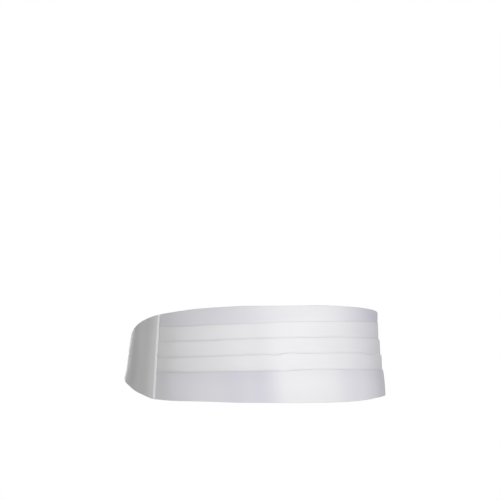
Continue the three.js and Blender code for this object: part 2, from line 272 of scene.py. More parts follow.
satinWeave = satinWeaveGroup()
handling = handlingGroup()

# A look's shade is the colour that painted shade mixes the base colour towards.
satinLook = {
    "light": (0.87, 0.87, 0.877),
    "deep": (0.80, 0.80, 0.81),
    "shade": (0.66, 0.645, 0.72),
    "roughness": 0.42,
    "weaveRelief": 0.00003,
    "slackRelief": 0.00025,
    "sheen": 0.12,
}
liningLook = {
    "light": (0.84, 0.84, 0.835),
    "deep": (0.77, 0.77, 0.765),
    "shade": (0.70, 0.70, 0.70),
    "roughness": 0.75,
    "weaveRelief": 0.00005,
    "slackRelief": 0.0003,
    "sheen": 0.05,
}


# Cloth from the two groups: a base colour between two whites, and relief from weave and slack.
def clothMaterial(name, look, threads, floatLength, sheenRough=0.4):
    material = bpy.data.materials.new(name)
    material.use_nodes = True
    tree = material.node_tree
    shader = tree.nodes["Principled BSDF"]
    shader.inputs["Sheen Weight"].default_value = look["sheen"]
    shader.inputs["Sheen Roughness"].default_value = sheenRough
    shader.inputs["Specular IOR Level"].default_value = 0.5
    coordinates = addNode(tree, "ShaderNodeTexCoord")
    weave = addNode(tree, "ShaderNodeGroup", node_tree=satinWeave)
    weave.inputs["Threads"].default_value = threads
    weave.inputs["Float Length"].default_value = floatLength
    tree.links.new(coordinates.outputs["UV"], weave.inputs["Vector"])
    wear = addNode(tree, "ShaderNodeGroup", node_tree=handling)
    tree.links.new(coordinates.outputs["Object"], wear.inputs["Vector"])
    tone = math(tree, "MULTIPLY", wear.outputs["Tone"], weave.outputs["Shade"])
    colour = addNode(tree, "ShaderNodeMix", data_type="RGBA")
    colour.inputs["A"].default_value = (*look["light"], 1)
    colour.inputs["B"].default_value = (*look["deep"], 1)
    tree.links.new(tone, colour.inputs["Factor"])
    # Painted shade: the base colour is mixed towards the look's shade colour by the piece's "shade" attribute.
    shade = addNode(tree, "ShaderNodeAttribute", attribute_name="shade")
    paintedShadeMix = addNode(tree, "ShaderNodeMix", data_type="RGBA")
    paintedShadeMix.inputs["B"].default_value = (*look["shade"], 1)
    tree.links.new(shade.outputs["Fac"], paintedShadeMix.inputs["Factor"])
    tree.links.new(colour.outputs["Result"], paintedShadeMix.inputs["A"])
    tree.links.new(paintedShadeMix.outputs["Result"], shader.inputs["Base Color"])
    gloss = math(tree, "MULTIPLY_ADD", wear.outputs["Tone"], 0.1, look["roughness"] - 0.05)
    tree.links.new(gloss, shader.inputs["Roughness"])
    coarse = addNode(tree, "ShaderNodeBump")
    coarse.inputs["Distance"].default_value = look["slackRelief"]
    tree.links.new(wear.outputs["Slack"], coarse.inputs["Height"])
    fine = addNode(tree, "ShaderNodeBump")
    fine.inputs["Distance"].default_value = look["weaveRelief"]
    tree.links.new(weave.outputs["Height"], fine.inputs["Height"])
    tree.links.new(coarse.outputs["Normal"], fine.inputs["Normal"])
    tree.links.new(fine.outputs["Normal"], shader.inputs["Normal"])
    return material


bandLook = {
    "light": (0.82, 0.82, 0.82),
    "deep": (0.77, 0.77, 0.775),
    "roughness": 0.7,
    "ribPitch": 0.0016,
    "ribRelief": 0.00012,
    "yarnRelief": 0.00005,
}
platedLook = {
    "bright": (0.58, 0.58, 0.59),
    "dull": (0.47, 0.47, 0.49),
    "roughness": 0.38,
    "brushRelief": 0.00001,
}
threadLook = {
    "light": (0.90, 0.90, 0.90),
    "deep": (0.80, 0.80, 0.80),
    "shade": (0.70, 0.70, 0.70),
    "roughness": 0.6,
    "weaveRelief": 0.00002,
    "slackRelief": 0.0,
    "sheen": 0.1,
}


# Ribbed band: cords that run across its width at an even pitch, each wrapped in fine yarns, with painted shade
# in the grooves between them.
def ribbedMaterial(name, look):
    material = bpy.data.materials.new(name)
    material.use_nodes = True
    tree = material.node_tree
    shader = tree.nodes["Principled BSDF"]
    shader.inputs["Sheen Weight"].default_value = 0.1
    coordinates = addNode(tree, "ShaderNodeTexCoord")
    split = addNode(tree, "ShaderNodeSeparateXYZ")
    tree.links.new(coordinates.outputs["UV"], split.inputs[0])
    turns = math(tree, "MULTIPLY", split.outputs["X"], 2 * np.pi / look["ribPitch"])
    rib = math(tree, "MULTIPLY_ADD", math(tree, "SINE", turns), 0.5, 0.5)
    weave = addNode(tree, "ShaderNodeGroup", node_tree=satinWeave)
    weave.inputs["Threads"].default_value = 3500.0
    weave.inputs["Float Length"].default_value = 1200.0
    tree.links.new(coordinates.outputs["UV"], weave.inputs["Vector"])
    wear = addNode(tree, "ShaderNodeGroup", node_tree=handling)
    tree.links.new(coordinates.outputs["Object"], wear.inputs["Vector"])
    # Painted shade: the base colour is darker in the grooves between the cords.
    low = math(tree, "SUBTRACT", 1.0, rib)
    tone = math(tree, "MULTIPLY_ADD", low, 0.6, math(tree, "MULTIPLY", wear.outputs["Tone"], 0.4))
    colour = addNode(tree, "ShaderNodeMix", data_type="RGBA")
    colour.inputs["A"].default_value = (*look["light"], 1)
    colour.inputs["B"].default_value = (*look["deep"], 1)
    tree.links.new(tone, colour.inputs["Factor"])
    tree.links.new(colour.outputs["Result"], shader.inputs["Base Color"])
    gloss = math(tree, "MULTIPLY_ADD", wear.outputs["Tone"], 0.15, look["roughness"] - 0.07)
    tree.links.new(gloss, shader.inputs["Roughness"])
    ribs = addNode(tree, "ShaderNodeBump")
    ribs.inputs["Distance"].default_value = look["ribRelief"]
    tree.links.new(rib, ribs.inputs["Height"])
    yarns = addNode(tree, "ShaderNodeBump")
    yarns.inputs["Distance"].default_value = look["yarnRelief"]
    tree.links.new(weave.outputs["Height"], yarns.inputs["Height"])
    tree.links.new(ribs.outputs["Normal"], yarns.inputs["Normal"])
    tree.links.new(yarns.outputs["Normal"], shader.inputs["Normal"])
    return material


# Nickelled plate: fine upright brush lines with a slightly duller, cloudy wear.
def platedMaterial(name, look):
    material = bpy.data.materials.new(name)
    material.use_nodes = True
    tree = material.node_tree
    shader = tree.nodes["Principled BSDF"]
    shader.inputs["Metallic"].default_value = 1.0
    coordinates = addNode(tree, "ShaderNodeTexCoord")
    wear = addNode(tree, "ShaderNodeGroup", node_tree=handling)
    wear.inputs["Scale"].default_value = 90.0
    tree.links.new(coordinates.outputs["Object"], wear.inputs["Vector"])
    split = addNode(tree, "ShaderNodeSeparateXYZ")
    tree.links.new(coordinates.outputs["Object"], split.inputs[0])
    stretched = addNode(tree, "ShaderNodeCombineXYZ")
    tree.links.new(math(tree, "MULTIPLY", split.outputs["X"], 9000.0), stretched.inputs["X"])
    tree.links.new(math(tree, "MULTIPLY", split.outputs["Z"], 150.0), stretched.inputs["Y"])
    brush = addNode(tree, "ShaderNodeTexNoise", noise_dimensions="2D")
    brush.inputs["Scale"].default_value = 1.0
    tree.links.new(stretched.outputs[0], brush.inputs["Vector"])
    colour = addNode(tree, "ShaderNodeMix", data_type="RGBA")
    colour.inputs["A"].default_value = (*look["bright"], 1)
    colour.inputs["B"].default_value = (*look["dull"], 1)
    tree.links.new(wear.outputs["Tone"], colour.inputs["Factor"])
    tree.links.new(colour.outputs["Result"], shader.inputs["Base Color"])
    gloss = math(tree, "MULTIPLY_ADD", brush.outputs[0], 0.16, look["roughness"] - 0.08)
    tree.links.new(gloss, shader.inputs["Roughness"])
    lines = addNode(tree, "ShaderNodeBump")
    lines.inputs["Distance"].default_value = look["brushRelief"]
    tree.links.new(brush.outputs[0], lines.inputs["Height"])
    tree.links.new(lines.outputs["Normal"], shader.inputs["Normal"])
    return material


satin = clothMaterial("white satin", satinLook, 2200.0, 220.0)
lining = clothMaterial("plain lining", liningLook, 1600.0, 1200.0)
band = ribbedMaterial("ribbed band", bandLook)
plated = platedMaterial("nickelled plate", platedLook)
thread = clothMaterial("sewing thread", threadLook, 3000.0, 3000.0)
print("materials made")

# The pleated front

front = {
    "height": 127.0,
    "halfLength": 207.5,
    "seamLean": 0.03,  # how far a seam moves outwards along the oval for each millimetre up
    "columns": 441,
    "lining": 1.2,
    "pleatWalls": [0.5, 1.2, 1.2, 1.1],
    "rootGap": 0.4,
    "pocketDepth": 10.0,
    "pocketRound": 0.2,
    "hem": 1.9,
    "hemRound": 0.8,  # share of a half circle
    "foldRound": 0.8,
    "swell": 0.3,
    "lowSwell": 1.6,  # how many times as much the lowest band swells
    "press": 0.6,  # share of the thickness left at the seams
    "pressLength": 26.0,
    "waveEnd": 25.0,  # length at the seams over which the edges' waviness dies out
    "creaseEnd": 36.0,
    "lap": 3.0,
}

# Top hem, four folded edges and bottom hem, as shares of the height: an edge rises by bow and turn
# towards both seams and by lean towards the wearer's left.
frontEdges = [
    {"height": 0.501, "lean": -0.03, "bow": -0.071, "turn": -0.054},
    {"height": 0.33, "lean": 0.0, "bow": -0.08, "turn": 0.033},
    {"height": 0.169, "lean": -0.018, "bow": -0.083, "turn": 0.022},
    {"height": 0.007, "lean": -0.017, "bow": -0.093, "turn": 0.033},
    {"height": -0.161, "lean": -0.021, "bow": -0.078, "turn": 0.037},
    {"height": -0.499, "lean": -0.019, "bow": 0.048, "turn": -0.018},
]

# How far each pleat's edge stands open from the cloth behind it, along the front.
openArcs = [-206, -192, -173, -144, -114, -89, -69, -54, -42, -31, -12, 22, 52, 84, 114, 155, 206]
pleatMouths = [
    [0.3, 0.35, 0.35, 0.35, 0.2, 0.15, 0.1, 0.05, 0.05, 0.05, 0.05, 0.1, 0.15, 0.3, 0.3, 0.3, 0.3],
    [0.35, 0.6, 0.35, 0.4, 0.45, 0.6, 0.6, 0.4, 0.45, 0.5, 0.45, 0.35, 0.3, 0.35, 0.5, 0.3, 0.3],
    [0.35, 0.6, 0.35, 0.4, 0.5, 0.5, 0.45, 0.55, 0.3, 0.3, 0.35, 0.35, 0.35, 0.45, 0.6, 0.5, 0.4],
    [0.35, 1.0, 0.6, 0.6, 0.6, 0.4, 0.3, 0.3, 0.25, 0.25, 0.3, 0.3, 0.3, 0.3, 0.35, 0.4, 0.5],
]

# Short kinks of the folded edges: the pleat's number from the top, its place, length and rise.
edgeKinks = [
    {"edge": 3, "arc": -48.0, "length": 7.0, "rise": -1.5},
    {"edge": 3, "arc": -28.0, "length": 9.0, "rise": 0.8},
    {"edge": 4, "arc": -35.0, "length": 14.0, "rise": -0.6},
    {"edge": 1, "arc": -37.0, "length": 22.0, "rise": 0.5},
    {"edge": 0, "arc": -28.0, "length": 34.0, "rise": -0.6},
    {"edge": 5, "arc": -184.0, "length": 24.0, "rise": -1.4},
    {"edge": 5, "arc": 78.0, "length": 42.0, "rise": -1.4},
]

# Slight waviness of each edge: wave length, size and turn.
edgeWaves = [
    [(140, 0.15, 0.1), (61, 0.08, 0.7)],
    [(120, 0.25, 0.3), (47, 0.12, 0.2)],
    [(133, 0.22, 0.8), (52, 0.10, 0.5)],
    [(111, 0.25, 0.55), (43, 0.12, 0.9)],
    [(127, 0.22, 0.05), (57, 0.10, 0.35)],
    [(150, 0.2, 0.6), (66, 0.08, 0.15)],
]

frontCreases = [
    {"arc": -59.0, "height": -15.0, "length": 20.0, "tall": 62.0, "lean": -0.15, "rise": 1.2},
    {"arc": -99.0, "height": -43.0, "length": 44.0, "tall": 26.0, "rise": -0.8},
    {"arc": -42.0, "height": -6.0, "length": 5.0, "tall": 7.0, "lean": -1.1, "rise": 0.55},
    {"arc": 111.0, "height": -12.0, "length": 22.0, "tall": 64.0, "rise": 1.0},
    {"arc": -151.0, "height": 13.0, "length": 29.0, "tall": 44.0, "lean": 0.1, "rise": 0.55},
    {"arc": 178.0, "height": 60.0, "length": 31.0, "tall": 30.0, "rise": 3.5},
]


# Painted shade on the front, cooler and duller in colour: one even share for each band from the top, then soft
# patches.
bandPaintedShades = [0.06, 0.0, 0.0, 0.0, 0.04]
paintedShadePatches = [
    {"bands": (0,), "arc": -125.0, "height": 55.0, "length": 95.0, "tall": 60.0, "rise": 0.44},
    {"bands": (0,), "arc": 118.0, "height": 55.0, "length": 48.0, "tall": 60.0, "rise": 0.5},
    {"bands": (0,), "arc": 152.0, "height": 55.0, "length": 35.0, "tall": 60.0, "rise": 0.35},
    {"bands": (0,), "arc": 172.0, "height": 55.0, "length": 26.0, "tall": 60.0, "rise": 0.5},
    {"bands": (1,), "arc": 165.0, "height": 30.0, "length": 25.0, "tall": 60.0, "rise": 0.15},
    {"bands": (1, 2, 3), "arc": -63.0, "height": 0.0, "length": 16.0, "tall": 90.0, "lean": -0.1, "rise": 0.12},
    {"bands": (1, 2, 3), "arc": 120.0, "height": 0.0, "length": 40.0, "tall": 90.0, "rise": 0.35},
    {"bands": (4,), "arc": -84.0, "height": -35.0, "length": 34.0, "tall": 70.0, "lean": -0.1, "rise": 0.5},
    {"bands": (4,), "arc": -62.0, "height": -35.0, "length": 18.0, "tall": 70.0, "lean": -0.1, "rise": 0.28},
    {"bands": (4,), "arc": -150.0, "height": -35.0, "length": 60.0, "tall": 70.0, "rise": 0.32},
    {"bands": (4,), "arc": 122.0, "height": -35.0, "length": 40.0, "tall": 70.0, "rise": 0.45},
    {"bands": (4,), "arc": 68.0, "height": -35.0, "length": 20.0, "tall": 70.0, "rise": 0.28},
    {"bands": (4,), "arc": 165.0, "height": -35.0, "length": 30.0, "tall": 70.0, "rise": 0.4},
    {"bands": (4,), "arc": 0.0, "height": -20.0, "length": 260.0, "tall": 14.0, "rise": 0.16},
]


# Each band's even painted shade plus its patches, kept between none and full.
def paintedFrontShade(band, arc, height):
    total = np.asarray(bandPaintedShades)[band] + 0 * height
    for number in range(len(bandPaintedShades)):
        patches = [row for row in paintedShadePatches if number in row["bands"]]
        total = total + (band == number) * relief(patches, arc, height, 3)
    return np.clip(total, 0.0, 1.0)


def edgeHeight(number, arc):
    row = frontEdges[number]
    share = np.clip(arc / front["halfLength"], -1, 1)
    bend = row["lean"] * share + row["bow"] * share**2 + row["turn"] * share**4
    height = front["height"] * (row["height"] + bend)
    held = smooth((front["halfLength"] - np.abs(arc)) / front["waveEnd"])
    height = height + held * ripple(arc, edgeWaves[number])
    for kink in edgeKinks:
        if kink["edge"] == number:
            height = height + kink["rise"] * np.exp(-(((arc - kink["arc"]) / kink["length"]) ** 2))
    return height


# A half round from one side of a wall to the other: height follows a sine, offset a cosine.
def halfRoundEdge(height, lift, fromOffset, toOffset, steps):
    turn = np.linspace(0.0, np.pi, steps)
    middle = (fromOffset + toOffset) / 2
    half = (toOffset - fromOffset) / 2
    return height + lift * np.sin(turn), middle - half * np.cos(turn)


# The front's section at every arc: down its outer face, in and out of each pocket, and up its back.
def frontSection(arc):
    fromSeam = front["halfLength"] - front["lap"] - np.abs(arc)
    press = mix(front["press"], 1.0, smooth(fromSeam / front["pressLength"]))
    wall = front["lining"] * press
    hem = front["hem"] * press
    hemLift = front["hemRound"] * hem / 2
    heights, offsets, bands = [], [], []

    def add(height, offset, band):
        height, offset = np.broadcast_arrays(height, offset)
        heights.append(height)
        offsets.append(offset)
        bands.append(np.full(height.shape[1], band))

    def face(fromHeight, fromOffset, toHeight, toOffset, swell, steps, band):
        share = np.linspace(0.0, 1.0, steps + 1)[1:-1]
        bulge = 4 * share * (1 - share)
        offset = mix(fromOffset, toOffset, share) + swell * press * bulge
        add(mix(fromHeight, toHeight, share), offset, band)

    top = edgeHeight(0, arc)
    bottom = edgeHeight(5, arc)
    add(*halfRoundEdge(top - hemLift, hemLift, 0 * arc, hem, 8), 0)
    startHeight, startOffset = top - hemLift, hem
    for number in range(1, 5):
        fold = edgeHeight(number, arc)
        foot = fold - front["pocketDepth"]
        mouth = press * through(openArcs, pleatMouths[number - 1], arc)
        flapBack = wall + mouth
        flapFace = flapBack + press * front["pleatWalls"][number - 1]
        root = wall + press * front["rootGap"]
        lift = front["foldRound"] * press
        face(startHeight, startOffset, fold, wall, front["swell"], 13, number - 1)
        add(mix(fold, foot, np.array([0.0, 0.08, 0.4])), wall, number - 1)
        add(*halfRoundEdge(foot, -front["pocketRound"], wall, root, 4), number)
        add(mix(foot, fold - lift, np.array([0.55])), mix(root, flapBack, 0.55), number)
        add(*halfRoundEdge(fold - lift, lift, flapBack, flapFace, 10), number)
        startHeight, startOffset = fold - lift, flapFace
    lowSwell = front["lowSwell"] * front["swell"]
    face(startHeight, startOffset, bottom + hemLift, hem, lowSwell, 26, 4)
    add(*halfRoundEdge(bottom + hemLift, -hemLift, hem, 0 * arc, 8), 4)
    outerCount = sum(part.shape[1] for part in heights)
    add(mix(bottom + hemLift, top - hemLift, np.linspace(0, 1, 24)[1:-1]), 0 * arc, 1)
    return (
        np.concatenate(heights, axis=1),
        np.concatenate(offsets, axis=1),
        np.concatenate(bands),
        outerCount,
    )


def pleatedFront():
    arc = np.linspace(-1, 1, front["columns"])[:, None] * front["halfLength"]
    height, offset, band, outerCount = frontSection(arc)
    held = smooth((front["halfLength"] - front["lap"] - np.abs(arc)) / front["creaseEnd"])
    offset = offset + held * relief(frontCreases, arc, height)
    points = place(arc * (1 + front["seamLean"] * height / front["halfLength"]), height, offset)
    # The painted shade goes into the mesh as its "shade" attribute.
    return tube(
        "frontSatin",
        points,
        arc[:, 0],
        [satin, lining],
        outerCount,
        height.shape[1],
        shade=paintedFrontShade(band[None, :], arc, height),
    )


frontSatin = pleatedFront()
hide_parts("pleated_front")
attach(frontSatin, "root")
print("pleated front made")

# The side panels

panel = {
    "length": 123.0,
    "wall": 2.0,
    "lap": 2.9,
    "mouth": 0.6,  # room for pleats that stand open under the roll
    "edgeRound": 0.8,
    "rollWall": 2.0,
    "rollLip": 0.25,
    "rollNose": 2.6,  # length of the roll's steep front, where most of its height is
    "noseShare": 0.74,
    "rollCrest": 4.5,
    "rollLength": 27.0,
    "endHalf": 19.5,
    "endLevel": -2.0,
    "endRound": 1.0,
    "endWall": 0.1,  # share of the wall left at the very end
    "columns": 200,
    "tuck": 12.0,
    "clearance": 0.3,
}
panelTaper = {
    "along": [0.0, 0.106, 0.244, 0.415, 0.6, 0.8, 1.0],
    "upper": [1.0, 0.91, 0.763, 0.52, 0.25, 0.07, 0.0],
    "lower": [1.0, 0.9, 0.785, 0.61, 0.45, 0.2, 0.0],
}
panelWaves = [
    {"arc": 39.0, "height": 20.0, "length": 17.0, "tall": 38.0, "lean": 0.25, "rise": 0.8},
    {"arc": 61.0, "height": -25.0, "length": 22.0, "tall": 20.0, "lean": -0.3, "rise": -0.7},
    {"arc": 88.0, "height": 0.0, "length": 15.0, "tall": 25.0, "rise": 0.6},
    {"arc": 86.0, "height": -46.0, "length": 25.0, "tall": 18.0, "rise": 3.2},
]


# Distance from the seam and offset of the panel's face and back, from its rolled nose to its end.
def panelPlan():
    pleatsHigh = front["lining"] + panel["mouth"] + max(front["pleatWalls"])
    backLevel = pleatsHigh * front["press"] + panel["clearance"]
    crest = backLevel + panel["rollWall"]
    noseArc = mix(-panel["lap"], panel["rollCrest"], np.linspace(0.0, 1.0, 40) ** 1.3)
    steep = np.sin(np.pi / 2 * np.clip((noseArc + panel["lap"]) / panel["rollNose"], 0, 1))
    gentle = 1 - (1 - (noseArc + panel["lap"]) / (panel["rollCrest"] + panel["lap"])) ** 2
    noseLift = mix(backLevel + panel["rollLip"], crest, mix(gentle, steep, panel["noseShare"]))
    sink = np.linspace(0.0, 1.0, 14)[1:]
    sunkArc = mix(noseArc[-1], panel["rollLength"], sink)
    sunkLift = mix(crest, panel["wall"], smooth(sink))
    endFrom = panel["length"] - panel["endRound"]
    rest = np.linspace(panel["rollLength"], endFrom, panel["columns"])[1:]
    turnEnd = np.linspace(0.0, np.pi / 2, 6)[1:]
    endArc = endFrom + panel["endRound"] * np.sin(turnEnd)
    endLift = panel["wall"] / 2 * (1 + mix(panel["endWall"], 1.0, np.cos(turnEnd)))
    faceArc = np.concatenate([noseArc, sunkArc, rest, endArc])
    faceLift = np.concatenate([noseLift, sunkLift, rest * 0 + panel["wall"], endLift])
    faceLift[0] = backLevel + 0.7 * panel["rollLip"]
    backArc = faceArc.copy()
    backLift = np.concatenate([noseLift * 0, sunkLift * 0, rest * 0, panel["wall"] - endLift])
    under = np.searchsorted(backArc, panel["clearance"])
    backLift[:under] = backLevel
    backLift[0] = backLevel + 0.3 * panel["rollLip"]
    backArc[under - 1] = panel["clearance"] - 0.01
    backArc[under] = panel["clearance"]
    return faceArc, faceLift, backArc, backLift


def panelEdges(side, fromSeam):
    share = np.clip(fromSeam / panel["length"], 0, 1)
    seamArc = np.array(side * front["halfLength"])
    upper = through(panelTaper["along"], panelTaper["upper"], share)
    lower = through(panelTaper["along"], panelTaper["lower"], share)
    top = mix(panel["endLevel"] + panel["endHalf"], edgeHeight(0, seamArc), upper)
    bottom = mix(panel["endLevel"] - panel["endHalf"], edgeHeight(5, seamArc), lower)
    return top, bottom


# One value all round the panel's section: down its face, under its edge, up its back and over.
def roundSection(face, back, down, swing):
    parts = [face + 0 * down, mix(face, back, swing), back + 0 * down, mix(back, face, swing)]
    return np.concatenate(parts, axis=1)


def sidePanel(side, name, node):
    faceArc, faceLift, backArc, backLift = [line[:, None] for line in panelPlan()]
    wall = faceLift - backLift
    lift = np.minimum(panel["edgeRound"], wall / 2)
    topFace, bottomFace = panelEdges(side, faceArc)
    topBack, bottomBack = panelEdges(side, backArc)
    down = np.linspace(1.0, 0.0, 60)[None, :]
    turn = np.linspace(0.0, np.pi, 7)[None, 1:-1]
    swing = (1 - np.cos(turn)) / 2
    arcs = roundSection(faceArc, backArc, down, swing)
    heights = np.concatenate(
        [
            mix(bottomFace + lift, topFace - lift, down),
            mix(bottomFace, bottomBack, swing) + lift * (1 - np.sin(turn)),
            mix(bottomBack + lift, topBack - lift, down[:, ::-1]),
            mix(topBack, topFace, swing) - lift * (1 - np.sin(turn)),
        ],
        axis=1,
    )
    offsets = roundSection(faceLift, backLift, down, swing)
    beforeStrap = panel["length"] - panel["tuck"] - arcs
    held = smooth(arcs / panel["rollLength"]) * smooth(beforeStrap / panel["tuck"])
    offsets = offsets + held * relief(panelWaves, arcs, heights)
    lean = front["seamLean"] * heights * (1 - np.clip(arcs / panel["length"], 0, 1))
    points = place(side * (front["halfLength"] + lean + arcs), heights, offsets)
    backFrom = down.size + turn.size
    backTo = backFrom + down.size
    piece = tube(name, points, faceArc[:, 0], [satin, lining], backFrom, backTo, turned=side < 0)
    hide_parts(node)
    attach(piece, "root")
    return piece


sidePanel(1, "sideSatinLeft", "side_panel_left")
sidePanel(-1, "sideSatinRight", "side_panel_right")
print("side panels made")

# The back straps

strap = {
    "height": 36.0,
    "level": -2.0,
    "wall": 1.5,
    "tuck": 12.0,
    "returned": 20.0,
    "clearance": 0.3,
    "step": 1.2,
    "cutThin": 0.35,  # share of its thickness that the strap loses where it is cut off
    "cutLength": 1.5,
}
clasp = {
    "wall": 2.0,
    "bar": 4.0,
    "slot": 6.0,
    "web": 14.0,
    "rim": 4.0,
    "corner": 3.0,
    "slotCorner": 0.9,
    "clearance": 0.5,
    "bevel": 0.45,
}
strapOffset = -strap["clearance"] - strap["wall"] / 2
legOffset = clasp["wall"] / 2 + clasp["clearance"] + strap["wall"] / 2
claspOffset = strapOffset + legOffset
barInside = clasp["web"] / 2 + clasp["slot"]
barOutside = barInside + clasp["bar"]
returnEnd = barOutside + strap["returned"]
settled = returnEnd + strap["returned"]  # from here on the strap lies flat against the waist


# Offset of the strap's outer leg at a distance from the centre of the back: a soft rise from the
# waist over the strap's own return to the outside of the clasp's bar.
def outerLeg(fromBack):
    over = strapOffset + strap["wall"] + strap["clearance"]
    outer = claspOffset + legOffset
    rows = [
        (settled, strapOffset),
        (mix(settled, returnEnd, 0.5), mix(strapOffset, over, 0.4)),
        (returnEnd + strap["wall"], over + strap["clearance"]),
        (mix(returnEnd, barOutside, 0.5), (over + outer) / 2 + strap["clearance"]),
        (barOutside + strap["wall"], outer),
    ]
    return through([-row[0] for row in rows], [row[1] for row in rows], -fromBack)


# The strap's middle line, as distance from the centre of the back and offset: in from the panel,
# out over its own return, a half circle round the clasp's bar, and back inside.
def strapPath():
    start = halfRound - front["halfLength"] - panel["length"] + strap["tuck"]
    lead = np.linspace(start, settled, 40)[:-1]
    rise = np.linspace(settled, barOutside + strap["wall"], 40)
    turn = np.linspace(0, np.pi, 17)
    back = np.linspace(barInside, returnEnd, 18)[1:]
    fromBack = np.concatenate([lead, rise, barInside - legOffset * np.sin(turn), back])
    offset = np.concatenate(
        [
            lead * 0 + strapOffset,
            outerLeg(rise),
            claspOffset + legOffset * np.cos(turn),
            back * 0 + strapOffset,
        ]
    )
    return fromBack, offset


# Evenly spaced points of a path, each a share of its whole length.
def evenly(along, across, step):
    lengths = np.concatenate([[0.0], np.cumsum(np.hypot(np.diff(along), np.diff(across)))])
    count = int(lengths[-1] / step)
    wanted = np.linspace(0, lengths[-1], count)
    return np.interp(wanted, lengths, along), np.interp(wanted, lengths, across), wanted


# The strap: a flat band with rounded edges carried along its path, thinner where it is cut off.
def backStrap(side, name, node):
    fromBack, offset, run = evenly(*strapPath(), strap["step"])
    alongX = np.gradient(fromBack)
    alongY = np.gradient(offset)
    size = np.hypot(alongX, alongY)
    alongX, alongY = alongX / size, alongY / size
    half = strap["wall"] / 2
    top = strap["level"] + strap["height"] / 2
    bottom = strap["level"] - strap["height"] / 2
    turn = np.linspace(0, np.pi, 9)[1:-1]
    flat = np.linspace(0, 1, 13)
    out = np.concatenate([flat * 0 + half, half * np.cos(turn), flat * 0 - half, -half * np.cos(turn)])
    high = np.concatenate(
        [
            mix(top - half, bottom + half, flat),
            bottom + half * (1 - np.sin(turn)),
            mix(bottom + half, top - half, flat),
            top - half * (1 - np.sin(turn)),
        ]
    )
    thin = 1 - strap["cutThin"] * np.exp(-(((run[-1] - run) / strap["cutLength"]) ** 2))
    out = out[None, :] * thin[:, None]
    arcs = side * (halfRound - fromBack[:, None] - alongY[:, None] * out)
    points = place(arcs, high[None, :] + 0 * out, offset[:, None] - alongX[:, None] * out)
    piece = tube(name, points, run, [band], turned=side < 0)
    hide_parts(node)
    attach(piece, "root")
    return piece


backStrap(1, "backStrapLeft", "strap_left")
backStrap(-1, "backStrapRight", "strap_right")
print("back straps made")


# The clasp: a flat plate with two slots. Its outline is a rounded rectangle, four quarter circles
# joined by straight sides, and each slot is a smaller one.
def roundedRectangle(halfWidth, halfHeight, corner, middle=0.0):
    turn = np.linspace(0, 2 * np.pi, 33)[:-1] + np.pi / 32
    x = np.sign(np.cos(turn)) * (halfWidth - corner) + corner * np.cos(turn)
    y = np.sign(np.sin(turn)) * (halfHeight - corner) + corner * np.sin(turn)
    return np.stack([x + middle, y, 0 * x, 0 * x + 1], axis=1)


def claspPlate():
    slotHalf = strap["height"] / 2 + clasp["clearance"]
    outline = bpy.data.curves.new("claspOutline", "CURVE")
    outline.dimensions = "2D"
    outline.fill_mode = "BOTH"
    outline.extrude = (clasp["wall"] / 2 - clasp["bevel"]) * mm
    outline.bevel_depth = clasp["bevel"] * mm
    outline.offset = -clasp["bevel"] * mm
    outline.bevel_resolution = 3
    middle = (clasp["web"] + clasp["slot"]) / 2
    loops = [roundedRectangle(barOutside, slotHalf + clasp["rim"], clasp["corner"])]
    for slotSide in (-1, 1):
        slot = roundedRectangle(clasp["slot"] / 2, slotHalf, clasp["slotCorner"], slotSide * middle)
        loops.append(slot[::-1])
    for loop in loops:
        spline = outline.splines.new("POLY")
        spline.points.add(len(loop) - 1)
        spline.points.foreach_set("co", (loop * [mm, mm, mm, 1]).astype(np.float32).ravel())
        spline.use_cyclic_u = True
    drawn = bpy.data.objects.new("claspOutline", outline)
    bpy.context.scene.collection.objects.link(drawn)
    mesh = bpy.data.meshes.new_from_object(drawn.evaluated_get(bpy.context.evaluated_depsgraph_get()))
    bpy.data.objects.remove(drawn)
    barMiddle = (barInside + barOutside) / 2
    sag = barMiddle**2 / (2 * oval["halfWidth"] ** 2 / oval["halfDepth"])
    centre = place(np.array(halfRound), np.array(strap["level"]), np.array(claspOffset - sag))
    tilt = Matrix.Rotation(np.pi / 2 + np.arctan(oval["flare"]), 4, "X")
    mesh.transform(Matrix.Translation(Vector(centre)) @ tilt)
    mesh.materials.clear()
    mesh.materials.append(plated)
    piece = bpy.data.objects.new("claspPlated", mesh)
    bpy.context.scene.collection.objects.link(piece)
    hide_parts("clasp")
    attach(piece, "root")


claspPlate()
print("clasp made")


# Stitches: short rounded threads laid end to end along lines, all in one mesh. A line gives the arc,
# height and offset of its two ends; a thread is a six-sided ring swept over a low hump.
stitch = {
    "length": 2.6,
    "gap": 0.9,
    "thick": 0.22,
    "flat": 0.8,
    "rise": 0.12,
    "proud": 0.05,
    "margin": 2.5,
    "panelInset": 2.0,
    "strapInset": 1.5,
    "strapBox": 6.0,
}


